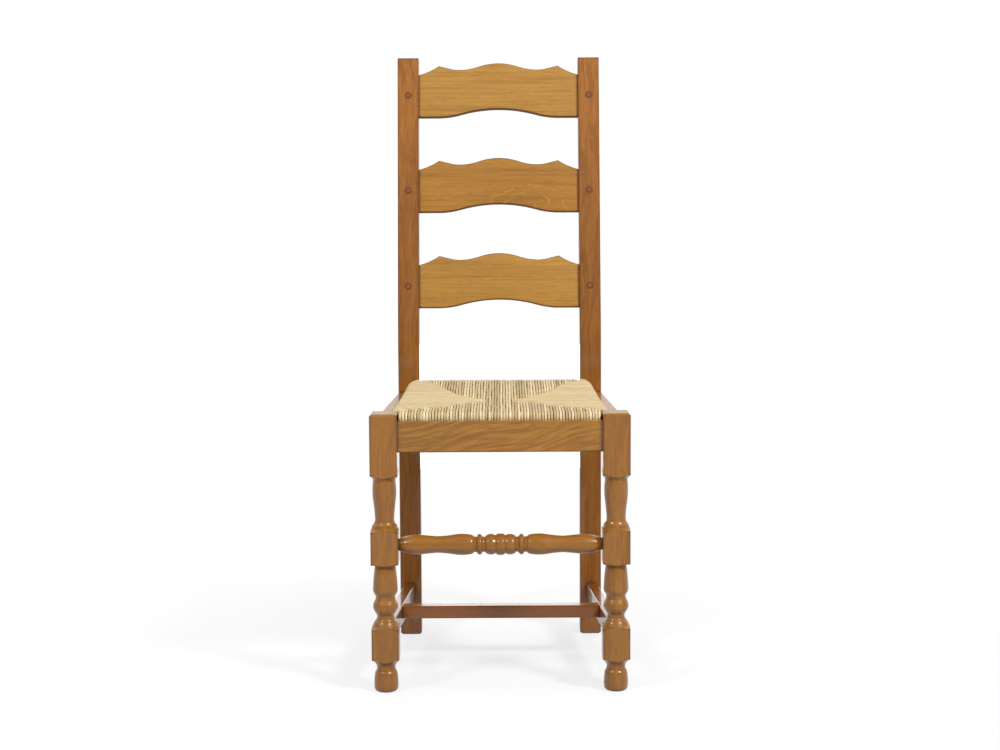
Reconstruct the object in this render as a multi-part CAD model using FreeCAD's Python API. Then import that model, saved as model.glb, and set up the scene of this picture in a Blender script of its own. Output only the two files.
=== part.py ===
"""Ladderback side chair with a drop-in rush seat, built from separate jointed pieces."""
import FreeCAD, Part
import os
import math

V = FreeCAD.Vector

# Overall layout
CHAIR_WIDTH = 420.0
BACK_HIGH = 590.5
REAR_FRONT = 370.0

# Rear posts, narrower apart than the front ones
REAR_INSET = 27.0
REAR_WIDTH = 38.0
REAR_DEPTH = 35.0
RAKE = math.radians(9.0)
BEND_ABOVE_RAIL = 43.5
BEND_LONG = 100.0
POST_EDGE = 1.5
FOOT_EDGE = 4.0

# Front posts, square stock with turned lengths between the blocks
FRONT_WIDTH = 44.2
FRONT_HEIGHT = 458.5
FRONT_TOP_EDGE = 3.0
TOP_BLOCK = 100.5

# Seat rails, a little below the top of the front posts
RAIL_DROP = 12.0
RAIL_HEIGHT = 50.6
RAIL_THICK = 25.0
SIDE_RAIL_THICK = 31.0
RAIL_SETBACK = 6.0
REAR_RAIL_SETBACK = 3.0
SIDE_RAIL_INSET = 7.7
LIP = 19.0
FRONT_LIP = 9.0
REBATE_DEPTH = 16.0
RAIL_EDGE = 1.5

# Slats
SLAT_THICK = 16.0
SLAT_SETBACK = 6.0
SLAT_TOP_DROP = 106.7
SLAT_PITCH = 171.7
SLAT_END = 77.5
SLAT_CROWN = 21.2
SLAT_VALLEY = 11.9
SLAT_CUSP = 4.7
SLAT_SAG = 1.7
SLAT_ARCH = 15.1
SLAT_EDGE = 2.4
CROWN_INFLECT = 36.0
VALLEY_AT = 71.0
VALLEY_CURVE = 17.0
CUSP_AT = 108.0
ARCH_INFLECT = 68.0
ARCH_END = 110.0

# Pegs through the slat tenons
PEG_DIA = 9.8
PEG_LENGTH = 30.0
PEG_PROUD = 0.6

# Joints
GAP = 0.15
TENON_THICK = 10.0
SLAT_TENON_THICK = 9.0
SLAT_TENON_LONG = 28.0
SLAT_SHOULDER = 5.0
RAIL_TENON_LONG = 18.0
RAIL_TENON_HIGH = 28.0
RAIL_TENON_LIFT = 5.0

# Stretchers
SIDE_STR_TOP = 95.4
SIDE_STR_HIGH = 33.5
SIDE_STR_THICK = 19.0
SIDE_STR_OUT_FRONT = 6.5
SIDE_STR_OUT_REAR = 1.5
STR_TENON_HIGH = 23.0
STR_EDGE = 1.5
CROSS_SIZE = 22.0
CROSS_AT = 211.0
CROSS_TENON = 12.0
CROSS_TENON_SIZE = 12.0
TURNED_Z = 242.2
TURNED_TENON_R = 7.5
TURNED_TENON_LONG = 20.0

# Seat frame and rush
RUSH_WRAP = 5.5
RUSH_RISE_FRONT = 12.9
RUSH_RISE_REAR = 21.0
RUSH_ROUND = 9.0
RUSH_FRONT = 16.0
SEAT_GAP = 1.2
POST_NOTCH_GAP = 2.0
FRAME_THICK = 17.0
FRAME_RAIL = 30.0
FRAME_TENON = 18.0
FRAME_TENON_THICK = 8.0
FRAME_TENON_WIDE = 16.0

# Corner blocks and screws
BLOCK_HIGH = 25.0
BLOCK_ALONG_FRONT = 58.0
BLOCK_ALONG_SIDE = 50.0
BLOCK_ALONG_REAR = 48.0
BLOCK_REAR_SIDE = 55.0
SCREW_DIA = 4.0
SCREW_HEAD = 8.0
SCREW_HEAD_HIGH = 3.0
SCREW_LONG = 32.0
SCREW_BITE = 14.0

# Values that follow from the ones above, the back standing on the height of the front posts
POST_HEIGHT = FRONT_HEIGHT + BACK_HIGH
RAIL_TOP = FRONT_HEIGHT - RAIL_DROP
REAR_OUTER = CHAIR_WIDTH / 2 - REAR_INSET
REAR_AXIS = REAR_OUTER - REAR_WIDTH / 2
REAR_INNER = REAR_OUTER - REAR_WIDTH
FRONT_OUTER = CHAIR_WIDTH / 2
FRONT_AXIS = FRONT_OUTER - FRONT_WIDTH / 2
FRONT_INNER = FRONT_OUTER - FRONT_WIDTH
SIDE_OUTER_FRONT = FRONT_OUTER - SIDE_RAIL_INSET
SIDE_STR_IN_FRONT = FRONT_AXIS + SIDE_STR_OUT_FRONT - SIDE_STR_THICK / 2
SIDE_STR_IN_REAR = REAR_AXIS + SIDE_STR_OUT_REAR - SIDE_STR_THICK / 2
SLAT_LOW_Z = POST_HEIGHT - SLAT_TOP_DROP - 2 * SLAT_PITCH
BEND_START = RAIL_TOP + BEND_ABOVE_RAIL
BEND_END = BEND_START + BEND_LONG
FRONT_BACK = FRONT_WIDTH
RAIL_BOTTOM = RAIL_TOP - RAIL_HEIGHT
LEDGE = RAIL_TOP - REBATE_DEPTH
SIDE_SLOPE = (REAR_OUTER - SIDE_OUTER_FRONT) / (REAR_FRONT - FRONT_BACK)
BEND_RADIUS = (BEND_END - BEND_START) / math.sin(RAKE)
BEND_Y = REAR_FRONT + BEND_RADIUS * (1 - math.cos(RAKE))
RAKE_LONG = (POST_HEIGHT - BEND_END) / math.cos(RAKE)
TOP_Y = BEND_Y + RAKE_LONG * math.sin(RAKE)
DEPTH = TOP_Y + REAR_DEPTH * math.cos(RAKE)
RUSH_REAR = REAR_FRONT - POST_NOTCH_GAP
SEAT_NOTCH_Y = FRONT_BACK + POST_NOTCH_GAP
SEAT_TONGUE = FRONT_INNER - POST_NOTCH_GAP
FRAME_BOTTOM = LEDGE + RUSH_WRAP
FRAME_FRONT = RUSH_FRONT + RUSH_WRAP
FRAME_REAR = RUSH_REAR - RUSH_WRAP


def box(x0, x1, y0, y1, z0, z1):
    return Part.makeBox(x1 - x0, y1 - y0, z1 - z0, V(x0, y0, z0))


def prism(points, z0, z1):
    """Upright prism over a closed plan outline."""
    corners = [V(x, y, z0) for x, y in points]
    corners.append(corners[0])
    return Part.Face(Part.makePolygon(corners)).extrude(V(0, 0, z1 - z0))


def mirrored(shape):
    return shape.mirror(V(0, 0, 0), V(1, 0, 0))


def side_outer(y):
    """Outer face of a side seat rail at a place along the seat."""
    return SIDE_OUTER_FRONT + SIDE_SLOPE * (y - FRONT_BACK)


def stretcher_inner(y):
    """Inner face of a side stretcher at a place along it."""
    slope = (SIDE_STR_IN_REAR - SIDE_STR_IN_FRONT) / (REAR_FRONT - FRONT_BACK)
    return SIDE_STR_IN_FRONT + slope * (y - FRONT_BACK)


def edges_where(shape, test):
    """Straight edges whose end points all pass a test."""
    found = []
    for edge in shape.Edges:
        if edge.Vertexes and all(test(v.Point) for v in edge.Vertexes):
            found.append(edge)
    return found


def near(a, b):
    return abs(a - b) < 0.01


def turned(steps, axis_point, axis_dir, radial):
    """Solid of revolution from arcs and lines given as (along, radius) steps."""
    def place(step):
        return axis_point + axis_dir * step[0] + radial * step[1]
    edges = []
    last = steps[0][-1]
    edges.append(Part.makeLine(axis_point + axis_dir * last[0], place(last)))
    for step in steps[1:]:
        if len(step) == 1:
            edges.append(Part.makeLine(place(last), place(step[0])))
        else:
            edges.append(Part.Arc(place(last), place(step[0]), place(step[1])).toShape())
        last = step[-1]
    end = axis_point + axis_dir * last[0]
    edges.append(Part.makeLine(place(last), end))
    edges.append(Part.makeLine(end, axis_point + axis_dir * steps[0][-1][0]))
    face = Part.Face(Part.Wire(edges))
    return face.revolve(axis_point, axis_dir, 360)


# The back is laid out on the raked front face of the posts, along it and into it
UP_RAKE = V(0, math.sin(RAKE), math.cos(RAKE))
INTO_BACK = V(0, math.cos(RAKE), -math.sin(RAKE))
RAKE_ORIGIN = V(0, BEND_Y, BEND_END)


def on_rake(x, along, into):
    return RAKE_ORIGIN + V(x, 0, 0) + UP_RAKE * along + INTO_BACK * into


def rake_along(z, into):
    """Distance along the rake at which a point this far in reaches a height."""
    return (z - BEND_END + into * math.sin(RAKE)) / math.cos(RAKE)


def rake_box(x0, x1, a0, a1, n0, n1):
    loop = [on_rake(x0, a0, n0), on_rake(x1, a0, n0), on_rake(x1, a1, n0), on_rake(x0, a1, n0)]
    loop.append(loop[0])
    return Part.Face(Part.makePolygon(loop)).extrude(INTO_BACK * (n1 - n0))


SLAT_BASES = [rake_along(SLAT_LOW_Z + SLAT_PITCH * i, SLAT_SETBACK) for i in range(3)]
TENON_IN = SLAT_SETBACK + (SLAT_THICK - SLAT_TENON_THICK) / 2


def slat_tenon(base, gap):
    low = base + SLAT_SHOULDER - gap
    high = base + SLAT_END - SLAT_SHOULDER + gap
    end = REAR_INNER + SLAT_TENON_LONG + gap
    start = REAR_INNER - gap
    return rake_box(start, end, low, high, TENON_IN - gap, TENON_IN + SLAT_TENON_THICK + gap)


def peg(base, side, gap):
    start = on_rake(side * REAR_AXIS, base + SLAT_END / 2, -PEG_PROUD)
    return Part.makeCylinder(PEG_DIA / 2 + gap, PEG_LENGTH + PEG_PROUD + gap, start, INTO_BACK)


def slat(base):
    """One slat with its wavy top, ogee underside, rounded front edge and two tenons."""
    top = SLAT_END + SLAT_CROWN

    def at(x, up):
        return on_rake(x, base + up, SLAT_SETBACK)

    def arc(x0, u0, x1, u1, bulge):
        chord = math.hypot(x1 - x0, u1 - u0)
        mx = (x0 + x1) / 2 - bulge * (u1 - u0) / chord
        mu = (u0 + u1) / 2 + bulge * (x1 - x0) / chord
        return Part.Arc(at(x0, u0), at(mx, mu), at(x1, u1)).toShape()

    def ogee_bulge(run, rise):
        return math.hypot(run, rise) / 2 * math.tan(math.atan2(rise, run) / 2)

    crown_drop = SLAT_VALLEY * CROWN_INFLECT / VALLEY_AT
    arch_drop = SLAT_ARCH * ARCH_INFLECT / ARCH_END
    curve_end = VALLEY_AT + VALLEY_CURVE
    straight = CUSP_AT - curve_end
    # The straight rise to the cusp leaves the valley's curve without a corner
    half_turn = 0.1
    for _ in range(20):
        half_turn = (SLAT_VALLEY - SLAT_CUSP) / (VALLEY_CURVE + 2 * straight / (1 - half_turn ** 2))
    curve_rise = VALLEY_CURVE * half_turn
    outer = REAR_INNER
    edges = []
    for s in (-1, 1):
        steps = []
        steps.append((0, top, CROWN_INFLECT, top - crown_drop, 1))
        steps.append((CROWN_INFLECT, top - crown_drop, VALLEY_AT, top - SLAT_VALLEY, -1))
        steps.append((VALLEY_AT, top - SLAT_VALLEY, curve_end, top - SLAT_VALLEY + curve_rise, -1))
        for x0, u0, x1, u1, sign in steps:
            bend = ogee_bulge(abs(x1 - x0), abs(u1 - u0))
            edges.append(arc(s * x0, u0, s * x1, u1, s * sign * bend))
        rise_start = at(s * curve_end, top - SLAT_VALLEY + curve_rise)
        edges.append(Part.makeLine(rise_start, at(s * CUSP_AT, top - SLAT_CUSP)))
        edges.append(arc(s * CUSP_AT, top - SLAT_CUSP, s * outer, SLAT_END, -s * SLAT_SAG))
        edges.append(Part.makeLine(at(s * outer, SLAT_END), at(s * outer, 0)))
        edges.append(Part.makeLine(at(s * outer, 0), at(s * ARCH_END, 0)))
        foot = SLAT_ARCH - arch_drop
        bend = ogee_bulge(ARCH_END - ARCH_INFLECT, foot)
        edges.append(arc(s * ARCH_END, 0, s * ARCH_INFLECT, foot, s * bend))
        bend = ogee_bulge(ARCH_INFLECT, arch_drop)
        edges.append(arc(s * ARCH_INFLECT, foot, 0, SLAT_ARCH, -s * bend))
    wire = Part.Wire(Part.__sortEdges__(edges))
    body = Part.Face(wire).extrude(INTO_BACK * SLAT_THICK)
    tenon = slat_tenon(base, 0)
    body = body.fuse([tenon, mirrored(tenon)]).removeSplitter()
    for side in (-1, 1):
        body = body.cut(peg(base, side, GAP / 2))
    # The edges are rounded last, on the finished joint
    front = []
    for edge in body.Edges:
        inside = all(abs(v.Point.x) < outer + 1 for v in edge.Vertexes)
        upright = all(near(abs(v.Point.x), outer) for v in edge.Vertexes)
        flat = all(abs((v.Point - RAKE_ORIGIN).dot(INTO_BACK) - SLAT_SETBACK) < 0.01 for v in edge.Vertexes)
        if inside and flat and not upright:
            front.append(edge)
    return body.makeFillet(SLAT_EDGE, front)


def rail_tenon_z(gap):
    low = RAIL_BOTTOM + RAIL_TENON_LIFT
    return low - gap, low + RAIL_TENON_HIGH + gap


def front_rail_tenon(gap):
    z0, z1 = rail_tenon_z(gap)
    mid = RAIL_SETBACK + RAIL_THICK / 2
    y0 = mid - TENON_THICK / 2 - gap
    y1 = mid + TENON_THICK / 2 + gap
    return box(FRONT_INNER - gap, FRONT_INNER + RAIL_TENON_LONG + gap, y0, y1, z0, z1)


def side_rail_tenon(front, gap):
    z0, z1 = rail_tenon_z(gap)
    edge = FRONT_BACK if front else REAR_FRONT
    mid = side_outer(edge) - RAIL_THICK / 2
    x0 = mid - TENON_THICK / 2 - gap
    x1 = mid + TENON_THICK / 2 + gap
    if front:
        return box(x0, x1, edge - RAIL_TENON_LONG - gap, edge + gap, z0, z1)
    return box(x0, x1, edge - gap, edge + RAIL_TENON_LONG + gap, z0, z1)


def rear_rail_tenon(gap):
    z0, z1 = rail_tenon_z(gap)
    mid = REAR_FRONT + REAR_RAIL_SETBACK + RAIL_THICK / 2
    y0 = mid - TENON_THICK / 2 - gap
    y1 = mid + TENON_THICK / 2 + gap
    return box(REAR_INNER - gap, REAR_INNER + RAIL_TENON_LONG + gap, y0, y1, z0, z1)


def side_stretcher_tenon(front, gap):
    z0 = SIDE_STR_TOP - SIDE_STR_HIGH / 2 - STR_TENON_HIGH / 2 - gap
    z1 = z0 + STR_TENON_HIGH + 2 * gap
    edge = FRONT_BACK if front else REAR_FRONT
    mid = stretcher_inner(edge) + SIDE_STR_THICK / 2
    x0 = mid - TENON_THICK / 2 - gap
    x1 = mid + TENON_THICK / 2 + gap
    if front:
        return box(x0, x1, edge - RAIL_TENON_LONG - gap, edge + gap, z0, z1)
    return box(x0, x1, edge - gap, edge + RAIL_TENON_LONG + gap, z0, z1)


def cross_tenon(gap):
    start = stretcher_inner(CROSS_AT)
    half = CROSS_TENON_SIZE / 2 + gap
    z = SIDE_STR_TOP - CROSS_SIZE / 2
    return box(start - 3 - gap, start + CROSS_TENON + gap, CROSS_AT - half, CROSS_AT + half, z - half, z + half)


def turned_tenon(gap):
    start = V(FRONT_INNER - gap, FRONT_WIDTH / 2, TURNED_Z)
    return Part.makeCylinder(TURNED_TENON_R + gap, TURNED_TENON_LONG + 2 * gap, start, V(1, 0, 0))


def end_bevels(x0, x1, y0, y1, z, size, up):
    """Wedges that bevel the four edges of a square end, up telling which way the wood lies."""
    far = z + up * (size + 1)
    low = z - up
    tools = []
    for x, out in ((x0, 1), (x1, -1)):
        loop = [V(x - out, y0 - 1, low), V(x + out * (size + 1), y0 - 1, low), V(x - out, y0 - 1, far)]
        loop.append(loop[0])
        tools.append(Part.Face(Part.makePolygon(loop)).extrude(V(0, y1 - y0 + 2, 0)))
    for y, out in ((y0, 1), (y1, -1)):
        loop = [V(x0 - 1, y - out, low), V(x0 - 1, y + out * (size + 1), low), V(x0 - 1, y - out, far)]
        loop.append(loop[0])
        tools.append(Part.Face(Part.makePolygon(loop)).extrude(V(x1 - x0 + 2, 0, 0)))
    return tools


def rear_post():
    """Right rear post: upright to above the seat, then bent back."""
    def bend(radius, angle):
        return V(0, REAR_FRONT + BEND_RADIUS - radius * math.cos(angle), BEND_START + radius * math.sin(angle))
    inner = BEND_RADIUS - REAR_DEPTH
    top = on_rake(0, RAKE_LONG, 0)
    top_back = on_rake(0, RAKE_LONG, REAR_DEPTH)
    back = REAR_FRONT + REAR_DEPTH
    edges = []
    edges.append(Part.makeLine(V(0, back, 0), V(0, REAR_FRONT, 0)))
    edges.append(Part.makeLine(V(0, REAR_FRONT, 0), bend(BEND_RADIUS, 0)))
    edges.append(Part.Arc(bend(BEND_RADIUS, 0), bend(BEND_RADIUS, RAKE / 2), bend(BEND_RADIUS, RAKE)).toShape())
    edges.append(Part.makeLine(bend(BEND_RADIUS, RAKE), top))
    edges.append(Part.makeLine(top, top_back))
    edges.append(Part.makeLine(top_back, bend(inner, RAKE)))
    edges.append(Part.Arc(bend(inner, RAKE), bend(inner, RAKE / 2), bend(inner, 0)).toShape())
    edges.append(Part.makeLine(bend(inner, 0), V(0, back, 0)))
    face = Part.Face(Part.Wire(edges))
    body = face.extrude(V(REAR_WIDTH, 0, 0))
    body.translate(V(REAR_INNER, 0, 0))
    long_edges = []
    for edge in body.Edges:
        ends = [v.Point for v in edge.Vertexes]
        along_x = near(ends[0].y, ends[1].y) and near(ends[0].z, ends[1].z)
        across_top = all((p - RAKE_ORIGIN).dot(UP_RAKE) > RAKE_LONG - 0.01 for p in ends)
        across_foot = all(near(p.z, 0) for p in ends)
        if not along_x and not across_top and not across_foot:
            long_edges.append(edge)
    body = body.makeChamfer(POST_EDGE, long_edges)
    tools = end_bevels(REAR_INNER, REAR_OUTER, REAR_FRONT, back, 0, FOOT_EDGE, 1)
    tools += [slat_tenon(base, GAP) for base in SLAT_BASES]
    tools += [peg(base, 1, GAP / 2) for base in SLAT_BASES]
    tools += [side_rail_tenon(False, GAP), rear_rail_tenon(GAP), side_stretcher_tenon(False, GAP)]
    return body.cut(tools)


VASE_LOW = 284.6
VASE_HIGH = FRONT_HEIGHT - TOP_BLOCK - 8.4


def vase(share):
    return VASE_LOW + share * (VASE_HIGH - VASE_LOW)


LEG_PROFILE = [
    [(0, 14.5)],
    [(2.2, 18.0), (6.0, 19.6)],
    [(17.0, 19.8), (32.0, 18.0)],
    [(39.0, 15.1), (47.0, 18.2)],
    [(51.0, 22.0)],
    [(54.2, 27.0), (55.4, 32.0)],
    [(105.4, 32.0)],
    [(106.2, 26.0), (108.6, 21.6)],
    [(113.4, 19.5), (117.0, 17.5)],
    [(123.6, 14.0), (130.2, 16.6)],
    [(132.4, 17.6)],
    [(141.8, 20.5), (149.0, 18.1)],
    [(150.6, 17.5)],
    [(156.4, 15.9), (161.0, 17.6)],
    [(162.4, 18.6)],
    [(167.0, 20.2), (172.0, 20.2)],
    [(190.0, 19.1), (206.8, 17.0)],
    [(210.6, 22.5), (212.4, 32.0)],
    [(266.2, 32.0)],
    [(267.2, 26.0), (270.6, 21.4)],
    [(275.2, 20.4)],
    [(279.0, 17.4), (VASE_LOW, 15.6)],
    [(vase(0.19), 16.4), (vase(0.375), 17.7)],
    [(vase(0.70), 19.5), (VASE_HIGH, 18.4)],
    [(VASE_HIGH + 5.8, 23.5), (FRONT_HEIGHT - TOP_BLOCK, 32.0)],
    [(FRONT_HEIGHT, 32.0)],
]


def front_post():
    """Right front post: square blocks left between turned lengths."""
    axis = V(FRONT_AXIS, FRONT_WIDTH / 2, 0)
    square = box(FRONT_INNER, FRONT_OUTER, 0, FRONT_WIDTH, 0, FRONT_HEIGHT)
    uprights = []
    for edge in square.Edges:
        if near(edge.Vertexes[0].Point.x, edge.Vertexes[1].Point.x):
            if near(edge.Vertexes[0].Point.y, edge.Vertexes[1].Point.y):
                uprights.append(edge)
    square = square.makeChamfer(1.0, uprights)
    square = square.cut(end_bevels(FRONT_INNER, FRONT_OUTER, 0, FRONT_WIDTH, FRONT_HEIGHT, FRONT_TOP_EDGE, -1))
    body = square.common(turned(LEG_PROFILE, axis, V(0, 0, 1), V(1, 0, 0)))
    tools = [front_rail_tenon(GAP), side_rail_tenon(True, GAP), side_stretcher_tenon(True, GAP)]
    tools.append(turned_tenon(GAP))
    return body.cut(tools)


LIMB_START = 50.0


def limb(share):
    return LIMB_START + share * (FRONT_INNER - LIMB_START)


SPINDLE = [
    [(0, 17.5)],
    [(5.2, 16.9), (7.9, 14.9)],
    [(8.3, 14.9)],
    [(15.9, 16.9), (23.4, 14.6)],
    [(25.4, 12.4)],
    [(28.6, 13.0), (30.6, 15.4)],
    [(33.9, 16.9), (37.2, 15.4)],
    [(39.0, 12.6)],
    [(42.4, 12.8)],
    [(45.2, 14.9), (LIMB_START, 16.3)],
    [(limb(0.104), 17.4), (limb(0.225), 16.2)],
    [(limb(0.337), 14.4), (limb(0.458), 13.5)],
    [(limb(0.596), 15.0), (limb(0.717), 16.4)],
    [(limb(0.881), 13.8), (FRONT_INNER, 9.3)],
]


def turned_stretcher():
    """Turned front stretcher, the same on both sides of its middle bead."""
    start = V(0, FRONT_WIDTH / 2, TURNED_Z)
    half = turned(SPINDLE, start, V(1, 0, 0), V(0, 0, 1))
    half = half.fuse(turned_tenon(0))
    whole = half.fuse(mirrored(half)).removeSplitter()
    return whole


def softened(shape, edges, size):
    return shape.makeChamfer(size, edges)


def front_rail():
    y0 = RAIL_SETBACK
    y1 = RAIL_SETBACK + RAIL_THICK
    body = box(-FRONT_INNER, FRONT_INNER, y0, y1, RAIL_BOTTOM, RAIL_TOP)
    body = body.cut(box(-FRONT_INNER, FRONT_INNER, y0 + FRONT_LIP, y1, LEDGE, RAIL_TOP))
    rim = edges_where(body, lambda p: near(p.y, y0))
    rim = [e for e in rim if near(e.Vertexes[0].Point.z, e.Vertexes[1].Point.z)]
    body = softened(body, rim, RAIL_EDGE)
    tenon = front_rail_tenon(0)
    body = body.fuse([tenon, mirrored(tenon)]).removeSplitter()
    tool = screw_hole(screw_places()[0])
    return body.cut([tool, mirrored(tool)])


def rear_rail():
    y0 = REAR_FRONT + REAR_RAIL_SETBACK
    body = box(-REAR_INNER, REAR_INNER, y0, y0 + RAIL_THICK, RAIL_BOTTOM, RAIL_TOP)
    rim = edges_where(body, lambda p: near(p.z, RAIL_TOP) or near(p.z, RAIL_BOTTOM))
    rim = [e for e in rim if near(e.Vertexes[0].Point.y, e.Vertexes[1].Point.y)]
    body = softened(body, rim, RAIL_EDGE)
    tenon = rear_rail_tenon(0)
    body = body.fuse([tenon, mirrored(tenon)]).removeSplitter()
    tool = screw_hole(screw_places()[2])
    return body.cut([tool, mirrored(tool)])


def side_rail():
    """Right side seat rail with the rebate that carries the seat."""
    plan = []
    ledge = []
    for y, order in ((FRONT_BACK, 1), (REAR_FRONT, -1)):
        outer = side_outer(y)
        plan += [(outer - SIDE_RAIL_THICK, y), (outer, y)][::order]
        ledge += [(outer - SIDE_RAIL_THICK - 1, y), (outer - LIP, y)][::order]
    body = prism(plan, RAIL_BOTTOM, RAIL_TOP)
    body = body.cut(prism(ledge, LEDGE, RAIL_TOP + 1))
    rim = []
    for edge in body.Edges:
        a = edge.Vertexes[0].Point
        b = edge.Vertexes[1].Point
        outside = near(a.x, side_outer(a.y)) and near(b.x, side_outer(b.y))
        if outside and near(a.z, b.z) and abs(a.y - b.y) > 1:
            rim.append(edge)
    body = softened(body, rim, RAIL_EDGE)
    body = body.fuse([side_rail_tenon(True, 0), side_rail_tenon(False, 0)]).removeSplitter()
    places = screw_places()
    return body.cut([screw_hole(places[1]), screw_hole(places[3])])


def side_stretcher():
    """Right low stretcher with a socket for the cross stretcher."""
    plan = []
    for y, order in ((FRONT_BACK, 1), (REAR_FRONT, -1)):
        inner = stretcher_inner(y)
        plan += [(inner, y), (inner + SIDE_STR_THICK, y)][::order]
    body = prism(plan, SIDE_STR_TOP - SIDE_STR_HIGH, SIDE_STR_TOP)
    rim = []
    for edge in body.Edges:
        a = edge.Vertexes[0].Point
        b = edge.Vertexes[1].Point
        if near(a.z, b.z) and abs(a.y - b.y) > 1:
            rim.append(edge)
    body = softened(body, rim, STR_EDGE)
    body = body.fuse([side_stretcher_tenon(True, 0), side_stretcher_tenon(False, 0)]).removeSplitter()
    return body.cut(cross_tenon(GAP))


def cross_stretcher():
    """Stretcher between the two low ones, its shoulders cut to their slant."""
    y0 = CROSS_AT - CROSS_SIZE / 2
    y1 = CROSS_AT + CROSS_SIZE / 2
    a = stretcher_inner(y0)
    b = stretcher_inner(y1)
    body = prism([(-a, y0), (a, y0), (b, y1), (-b, y1)], SIDE_STR_TOP - CROSS_SIZE, SIDE_STR_TOP)
    rim = [e for e in body.Edges if near(e.Vertexes[0].Point.y, e.Vertexes[1].Point.y) and e.Length > FRONT_INNER]
    body = softened(body, rim, STR_EDGE)
    tenon = cross_tenon(0)
    return body.fuse([tenon, mirrored(tenon)]).removeSplitter()


def rush_side(y):
    """Outer edge of the rush at a place along the seat."""
    return side_outer(y) - LIP - SEAT_GAP


def frame_outer(y):
    """Outer edge of the inner seat frame at a place along the seat."""
    return rush_side(y) - RUSH_WRAP


FRAME_SIDE_START = FRAME_FRONT + FRAME_RAIL
FRAME_REAR_START = FRAME_REAR - FRAME_RAIL
FRAME_TONGUE = SEAT_TONGUE - RUSH_WRAP
FRAME_SIDE_IN = FRAME_TONGUE - FRAME_RAIL + 4.0


def frame_inner(y):
    """Inner edge of a side member of the seat frame."""
    share = (y - FRAME_SIDE_START) / (FRAME_REAR - FRAME_SIDE_START)
    rear_in = frame_outer(FRAME_REAR) - FRAME_RAIL
    return FRAME_SIDE_IN + share * (rear_in - FRAME_SIDE_IN)


def frame_tenon_z(gap):
    mid = FRAME_BOTTOM + FRAME_THICK / 2
    return mid - FRAME_TENON_THICK / 2 - gap, mid + FRAME_TENON_THICK / 2 + gap


def frame_front_tenon(gap):
    z0, z1 = frame_tenon_z(gap)
    mid = (FRAME_SIDE_IN + FRAME_TONGUE) / 2
    x0 = mid - FRAME_TENON_WIDE / 2 - gap
    x1 = mid + FRAME_TENON_WIDE / 2 + gap
    return box(x0, x1, FRAME_SIDE_START - FRAME_TENON - gap, FRAME_SIDE_START + gap, z0, z1)


def frame_rear_tenon(gap):
    z0, z1 = frame_tenon_z(gap)
    mid = FRAME_REAR - FRAME_RAIL / 2
    start = frame_inner(mid)
    y0 = mid - FRAME_TENON_WIDE / 2 - gap
    y1 = mid + FRAME_TENON_WIDE / 2 + gap
    return box(start - 2 - gap, start + FRAME_TENON + gap, y0, y1, z0, z1)


def seat_frame_front():
    body = box(-FRAME_TONGUE, FRAME_TONGUE, FRAME_FRONT, FRAME_SIDE_START, FRAME_BOTTOM,
               FRAME_BOTTOM + FRAME_THICK)
    rim = [e for e in body.Edges if near(e.Vertexes[0].Point.y, FRAME_FRONT) and e.Length > FRONT_INNER]
    body = body.makeFillet(4.0, rim)
    tool = frame_front_tenon(GAP)
    return body.cut([tool, mirrored(tool)])


def seat_frame_side():
    y0 = FRAME_SIDE_START
    y1 = FRAME_REAR
    plan = [(frame_inner(y0), y0), (frame_outer(y0), y0), (frame_outer(y1), y1), (frame_inner(y1), y1)]
    body = prism(plan, FRAME_BOTTOM, FRAME_BOTTOM + FRAME_THICK)
    body = body.fuse(frame_front_tenon(0)).removeSplitter()
    tools = [frame_rear_tenon(GAP)]
    tools += [screw_hole(place) for place in seat_screw_places()]
    return body.cut(tools)


def seat_frame_rear():
    y0 = FRAME_REAR_START
    y1 = FRAME_REAR
    a = frame_inner(y0)
    b = frame_inner(y1)
    body = prism([(-a, y0), (a, y0), (b, y1), (-b, y1)], FRAME_BOTTOM, FRAME_BOTTOM + FRAME_THICK)
    tenon = frame_rear_tenon(0)
    body = body.fuse([tenon, mirrored(tenon)]).removeSplitter()
    tool = screw_hole(seat_screw_places()[1])
    return body.cut([tool, mirrored(tool)])


def rush_top(y):
    """Height of the rush over the frame, rising a little to the back."""
    share = (y - RUSH_FRONT) / (RUSH_REAR - RUSH_FRONT)
    return RAIL_TOP + RUSH_RISE_FRONT + share * (RUSH_RISE_REAR - RUSH_RISE_FRONT)


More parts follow.
